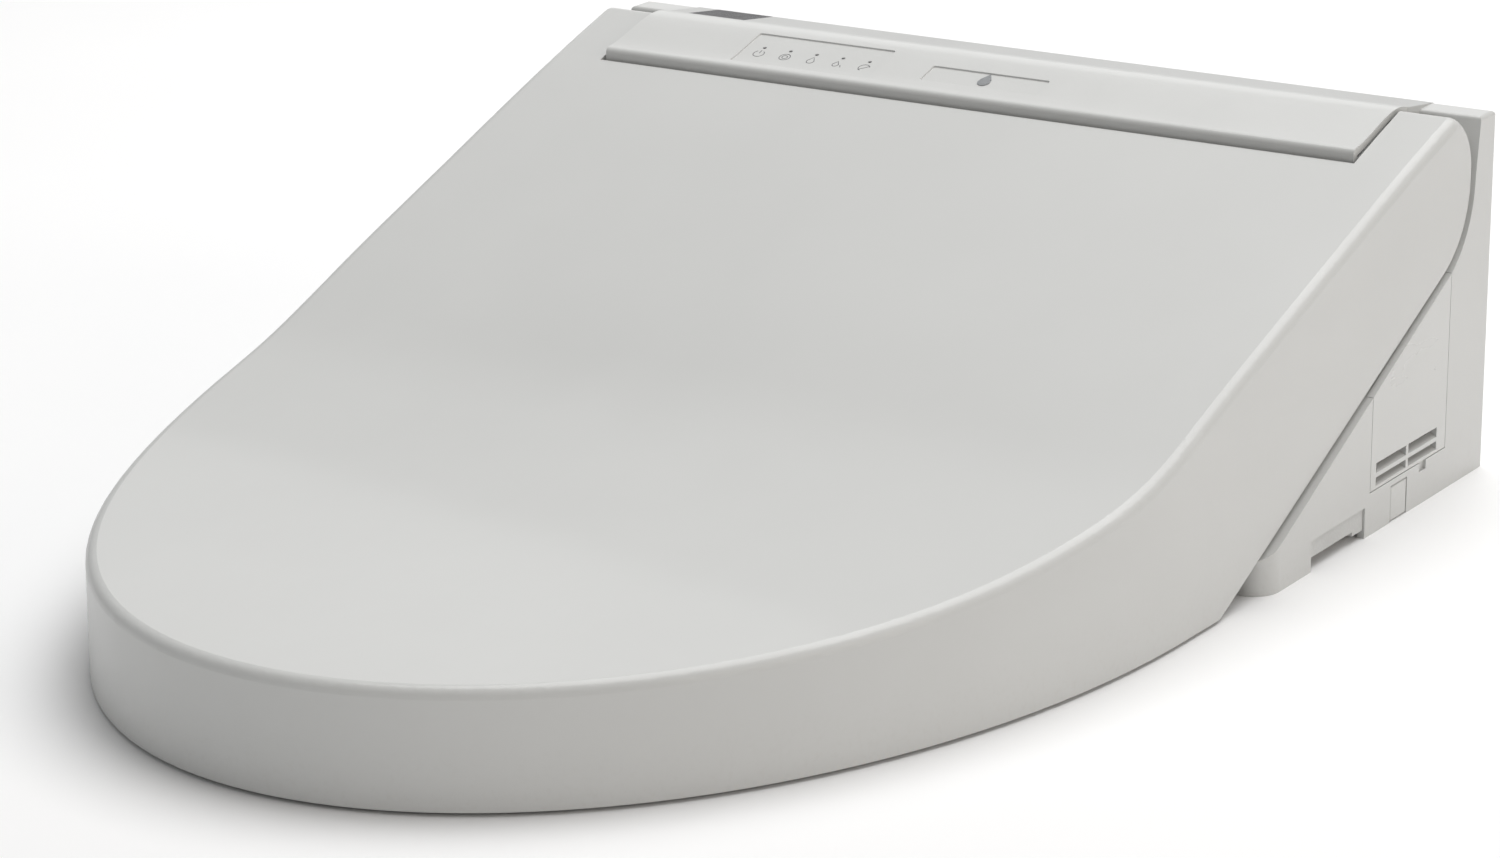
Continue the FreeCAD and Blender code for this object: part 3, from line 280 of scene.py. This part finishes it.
def milky_tube(name, colour):
    look = Shader(name)
    cloud = look.spread(look.noise(55.0, 5.0), 0.0, 1.0)
    look.colour(look.mix(cloud, scaled(colour, 0.88), scaled(colour, 1.05)))
    look.roughness(look.spread(look.noise(260.0, 4.0), 0.28, 0.45))
    look.bump(look.noise(500.0, 3.0), 0.02 * MM)
    look.set(Coat_Weight=0.3, Coat_Roughness=0.2)
    return look.material


def mica_board(name, colour):
    """Layered mica sheets with dark ribbon wire wound on them."""
    look = Shader(name)
    layer = look.spread(look.noise(30.0, 8.0, look.stretched(1.0, 6.0, 20.0)), 0.0, 1.0)
    wire = look.waves(190.0, "Y", 0.5)
    base = look.mix(layer, scaled(colour, 0.7), scaled(colour, 1.15))
    look.colour(look.mix(look.spread(wire, 0.0, 0.7, 0.75, 0.95), base, (0.18, 0.15, 0.13)))
    look.roughness(look.spread(layer, 0.35, 0.65, 0.0, 1.0))
    look.bump(wire, 0.2 * MM)
    return look.material


def circuit_board(name, colour):
    """A green board with pale tracks and solder spots."""
    look = Shader(name)
    tracks = look.cells(240.0, "DISTANCE_TO_EDGE")
    pads = look.cells(420.0)
    base = look.mix(look.spread(tracks, 1.0, 0.0, 0.02, 0.07), scaled(colour, 0.8), scaled(colour, 1.6))
    look.colour(look.mix(look.spread(pads, 1.0, 0.0, 0.08, 0.13), base, (0.62, 0.62, 0.58)))
    look.roughness(look.spread(look.noise(120.0, 4.0), 0.3, 0.5))
    look.bump(tracks, 0.05 * MM)
    return look.material


FINISHES = {
    "lid": lambda n: smooth_plastic(n, OFF_WHITE, 0.5, 0.3),
    "case": lambda n: smooth_plastic(n, scaled(OFF_WHITE, 0.965), 0.36),
    "cover": lambda n: smooth_plastic(n, scaled(OFF_WHITE, 1.05), 0.36),
    "seat": lambda n: smooth_plastic(n, OFF_WHITE, 0.25, 0.4),
    "white_part": lambda n: smooth_plastic(n, scaled(OFF_WHITE, 0.98), 0.3),
    "wand": lambda n: smooth_plastic(n, scaled(OFF_WHITE, 1.08), 0.22),
    "window": lambda n: tinted_window(n, (0.055, 0.055, 0.06)),
    "lens": lambda n: light_guide(n, (0.13, 0.13, 0.13)),
    "badge": lambda n: turned_metal(n, (0.36, 0.37, 0.38), 0.35),
    "tray": lambda n: grained_plastic(n, scaled(OFF_WHITE, 0.98), 0.5, 0.02),
    "rubber": lambda n: soft_rubber(n, (0.3, 0.3, 0.29)),
    "steel": lambda n: turned_metal(n, (0.62, 0.63, 0.64), 0.28),
    "foil": lambda n: crinkled_foil(n, (0.75, 0.75, 0.76)),
    "grey_part": lambda n: grained_plastic(n, (0.27, 0.28, 0.29), 0.5),
    "dark_part": lambda n: grained_plastic(n, (0.022, 0.022, 0.024), 0.45),
    "motor": lambda n: turned_metal(n, (0.5, 0.51, 0.52), 0.32),
    "brass": lambda n: turned_metal(n, (0.6, 0.43, 0.18), 0.3, "Z"),
    "mesh": lambda n: pierced_steel(n, (0.6, 0.6, 0.6)),
    "valve": lambda n: grained_plastic(n, (0.06, 0.09, 0.16), 0.45),
    "tank": lambda n: grained_plastic(n, (0.6, 0.55, 0.43), 0.5, 0.03),
    "hose": lambda n: milky_tube(n, (0.64, 0.64, 0.58)),
    "heater_mica": lambda n: mica_board(n, (0.46, 0.36, 0.16)),
    "board": lambda n: circuit_board(n, (0.02, 0.13, 0.05)),
}


def dress_cad_nodes():
    """Gives each CAD node the finish of its material slot."""
    made = {slot: build(slot) for slot, build in FINISHES.items()}
    for part in frame["record"]["subparts"]:
        node = frame["nodes"][part["node"]]
        node.data.materials.clear()
        node.data.materials.append(made[part["material_slot"]])


# ---- marks on the fixed cover ----
MARK_THICK = 0.05 * MM
MARK_SINK = 0.04 * MM
STROKE = 0.32 * MM
MARK_BEHIND = 4.8 * MM         # from a lens to the mark in front of it
MARK_R = 2.3 * MM


def cover_point(x, y):
    """The point of the cover's top over a place in the plan."""
    cover = frame["nodes"]["top_cover"]
    hit, point, normal, _ = cover.ray_cast(Vector((x, y, HIGH.z + 0.1)), Vector((0, 0, -1)))
    if not hit:
        raise ValueError("a mark lies off the cover")
    return point, normal


def ribbon(mesh, path, closed=False, wide=STROKE):
    """A thin raised line along a path in the plan, laid on the cover."""
    count = len(path)
    rows = []
    for i, (x, y) in enumerate(path):
        before = path[i - 1] if closed or i else path[i]
        after = path[(i + 1) % count] if closed or i + 1 < count else path[i]
        way = Vector((after[0] - before[0], after[1] - before[1])).normalized()
        side = Vector((-way.y, way.x)) * wide / 2
        row = []
        for turn in (1, -1):
            point, normal = cover_point(x + side.x * turn, y + side.y * turn)
            row.append(mesh.verts.new(point + normal * MARK_THICK))
            row.append(mesh.verts.new(point - normal * MARK_SINK))
        rows.append([row[0], row[2], row[3], row[1]])
    spans = list(zip(rows, rows[1:] + rows[:1])) if closed else list(zip(rows, rows[1:]))
    for a, b in spans:
        for k in range(4):
            mesh.faces.new((a[k], a[(k + 1) % 4], b[(k + 1) % 4], b[k]))
    if not closed:
        mesh.faces.new(rows[0][::-1])
        mesh.faces.new(rows[-1])


def ring(x, y, radius, start=0.0, end=360.0, steps=28):
    """Points round a circle; angles count from the back, clockwise seen from above."""
    whole = abs(end - start - 360.0) < 1e-6
    count = steps if whole else steps + 1
    angles = [math.radians(start + (end - start) * k / steps) for k in range(count)]
    return [(x + radius * math.sin(a), y + radius * math.cos(a)) for a in angles]


def drop_outline(x, y, size):
    """A water drop with its tip to the back."""
    low = ring(x, y - size * 0.25, size * 0.62, 60.0, 300.0, 20)
    return [(x, y + size)] + low


def power_mark(mesh, x, y):
    ribbon(mesh, ring(x, y, MARK_R, 35.0, 325.0))
    ribbon(mesh, [(x, y + MARK_R * k) for k in (0.2, 0.7, 1.15)])


def seat_mark(mesh, x, y):
    ribbon(mesh, ring(x, y, MARK_R), closed=True)
    ribbon(mesh, ring(x, y, MARK_R * 0.5), closed=True)


def drop_mark(mesh, x, y):
    ribbon(mesh, drop_outline(x, y, MARK_R * 1.1), closed=True)


def spray_mark(mesh, x, y):
    ribbon(mesh, drop_outline(x - MARK_R * 0.3, y, MARK_R * 0.9), closed=True)
    steps = [(0.65 + 0.12 * k, 0.2 + 0.22 * k) for k in range(4)]
    ribbon(mesh, [(x + MARK_R * across, y - MARK_R * along) for across, along in steps])


def leaf_mark(mesh, x, y):
    ribbon(mesh, ring(x, y, MARK_R, 200.0, 430.0))
    steps = [(0.4 * k - 0.8, 0.35 * k - 0.8) for k in range(5)]
    ribbon(mesh, [(x + MARK_R * across, y + MARK_R * along) for across, along in steps])


MARKS = [power_mark, seat_mark, drop_mark, spray_mark, leaf_mark]


def ink(name):
    """Printed grey ink, a little uneven."""
    look = Shader(name)
    thin = look.spread(look.noise(1500.0, 4.0), 0.0, 1.0)
    look.colour(look.mix(thin, (0.11, 0.11, 0.115), (0.17, 0.17, 0.175)))
    look.roughness(look.spread(look.noise(800.0, 3.0), 0.4, 0.6))
    look.bump(look.noise(2500.0, 2.0), 0.005 * MM)
    return look.material


def add_piece(name, mesh, material, body, smooth=True):
    """A mesh piece that rides on a CAD body."""
    bmesh.ops.recalc_face_normals(mesh, faces=mesh.faces)
    data = bpy.data.meshes.new(name)
    mesh.to_mesh(data)
    mesh.free()
    data.materials.append(material)
    for face in data.polygons:
        face.use_smooth = smooth
    piece = bpy.data.objects.new(name, data)
    bpy.context.scene.collection.objects.link(piece)
    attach(piece, body)
    return piece


def lens_centres():
    """Centres of the row of light guides, from their joined outline."""
    low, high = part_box("indicator_lenses")
    radius = (high.y - low.y) / 2
    count = len(MARKS)
    first, last = low.x + radius, high.x - radius
    y = (low.y + high.y) / 2
    return [(first + (last - first) * n / (count - 1), y) for n in range(count)]


def cover_marks():
    """Five generic line marks, one in front of each light guide."""
    material = ink("printed_ink")
    for n, ((x, y), draw) in enumerate(zip(lens_centres(), MARKS)):
        mesh = bmesh.new()
        draw(mesh, x, y - MARK_BEHIND)
        piece = add_piece(f"mark_{n + 1}", mesh, material, "housing", smooth=False)


# ---- studio ----
FLOOR_REACH = 14.0


def studio_floor():
    """A wide pale floor under the object."""
    look = Shader("studio_floor")
    tone = look.spread(look.noise(2.0, 3.0), 0.0, 1.0)
    look.colour(look.mix(tone, (0.93, 0.93, 0.93), (0.95, 0.95, 0.95)))
    look.roughness(look.spread(look.noise(12.0, 4.0), 0.75, 0.85))
    look.set(Specular_IOR_Level=0.1)
    mesh = bmesh.new()
    turns = [(-1, -1), (1, -1), (1, 1), (-1, 1)]
    corners = [(x * FLOOR_REACH, y * FLOOR_REACH) for x, y in turns]
    mesh.faces.new([mesh.verts.new((x, y, LOW.z)) for x, y in corners])
    data = bpy.data.meshes.new("studio_floor")
    mesh.to_mesh(data)
    mesh.free()
    data.materials.append(look.material)
    floor = bpy.data.objects.new("studio_floor", data)
    bpy.context.scene.collection.objects.link(floor)


WHITE = (1.0, 1.0, 1.0)
WARM = (1.0, 0.9, 0.8)
SKY_STRENGTH = 0.31

# name, place, width and height, watts, colour; each one faces the object's middle
SOFTBOXES = [
    ("key_light", (0.2, 0.8, 2.6), (2.6, 2.6), 76.0, WHITE),
    ("rear_light", (-1.9, 2.9, 1.2), (2.2, 1.2), 6.6, WHITE),
    ("side_light", (2.5, -0.4, 0.9), (1.8, 1.6), 12.3, WARM),
]


def softbox(name, place, size, watts, colour, target):
    """A rectangular soft light that faces a target."""
    lamp = bpy.data.lights.new(name, "AREA")
    lamp.shape = "RECTANGLE"
    lamp.size, lamp.size_y = size
    lamp.energy = watts
    lamp.color = colour
    obj = bpy.data.objects.new(name, lamp)
    bpy.context.scene.collection.objects.link(obj)
    obj.location = place
    obj.rotation_euler = (Vector(target) - Vector(place)).to_track_quat("-Z", "Y").to_euler()


def studio_lights():
    """The soft lights and an even pale sky."""
    centre = (LOW + HIGH) / 2
    for light in SOFTBOXES:
        softbox(*light, target=centre)
    world = bpy.data.worlds.new("studio_world")
    bpy.context.scene.world = world
    world.use_nodes = True
    sky = world.node_tree.nodes["Background"]
    sky.inputs["Color"].default_value = (*WHITE, 1.0)
    sky.inputs["Strength"].default_value = SKY_STRENGTH


CAMERA_PLACE = (0.9158, -1.6478, 0.5745)
CAMERA_AZIMUTH = 31.779
CAMERA_ELEVATION = 17.028
CAMERA_ROLL = -0.076
CAMERA_LENS = 118.83
CAMERA_SENSOR = 36.0
CAMERA_SHIFT = (-0.0025, 0.0023)


def camera():
    """The camera, turned by its azimuth round +Z and its elevation over the floor."""
    data = bpy.data.cameras.new("camera")
    data.lens = CAMERA_LENS
    data.sensor_width = CAMERA_SENSOR
    data.shift_x, data.shift_y = CAMERA_SHIFT
    data.dof.use_dof = False
    obj = bpy.data.objects.new("camera", data)
    obj.location = CAMERA_PLACE
    turn = Matrix.Rotation(math.radians(CAMERA_AZIMUTH), 3, "Z")
    pitch = Matrix.Rotation(math.radians(90.0 - CAMERA_ELEVATION), 3, "X")
    roll = Matrix.Rotation(math.radians(CAMERA_ROLL), 3, "Z")
    obj.rotation_euler = (turn @ pitch @ roll).to_euler()
    bpy.context.scene.collection.objects.link(obj)
    bpy.context.scene.camera = obj


def view_settings():
    """Plain display colours with no added contrast."""
    settings = bpy.context.scene.view_settings
    settings.view_transform = "Standard"
    settings.look = "None"
    settings.exposure = 0.0


dress_cad_nodes()
cover_marks()
studio_floor()
studio_lights()
camera()
view_settings()
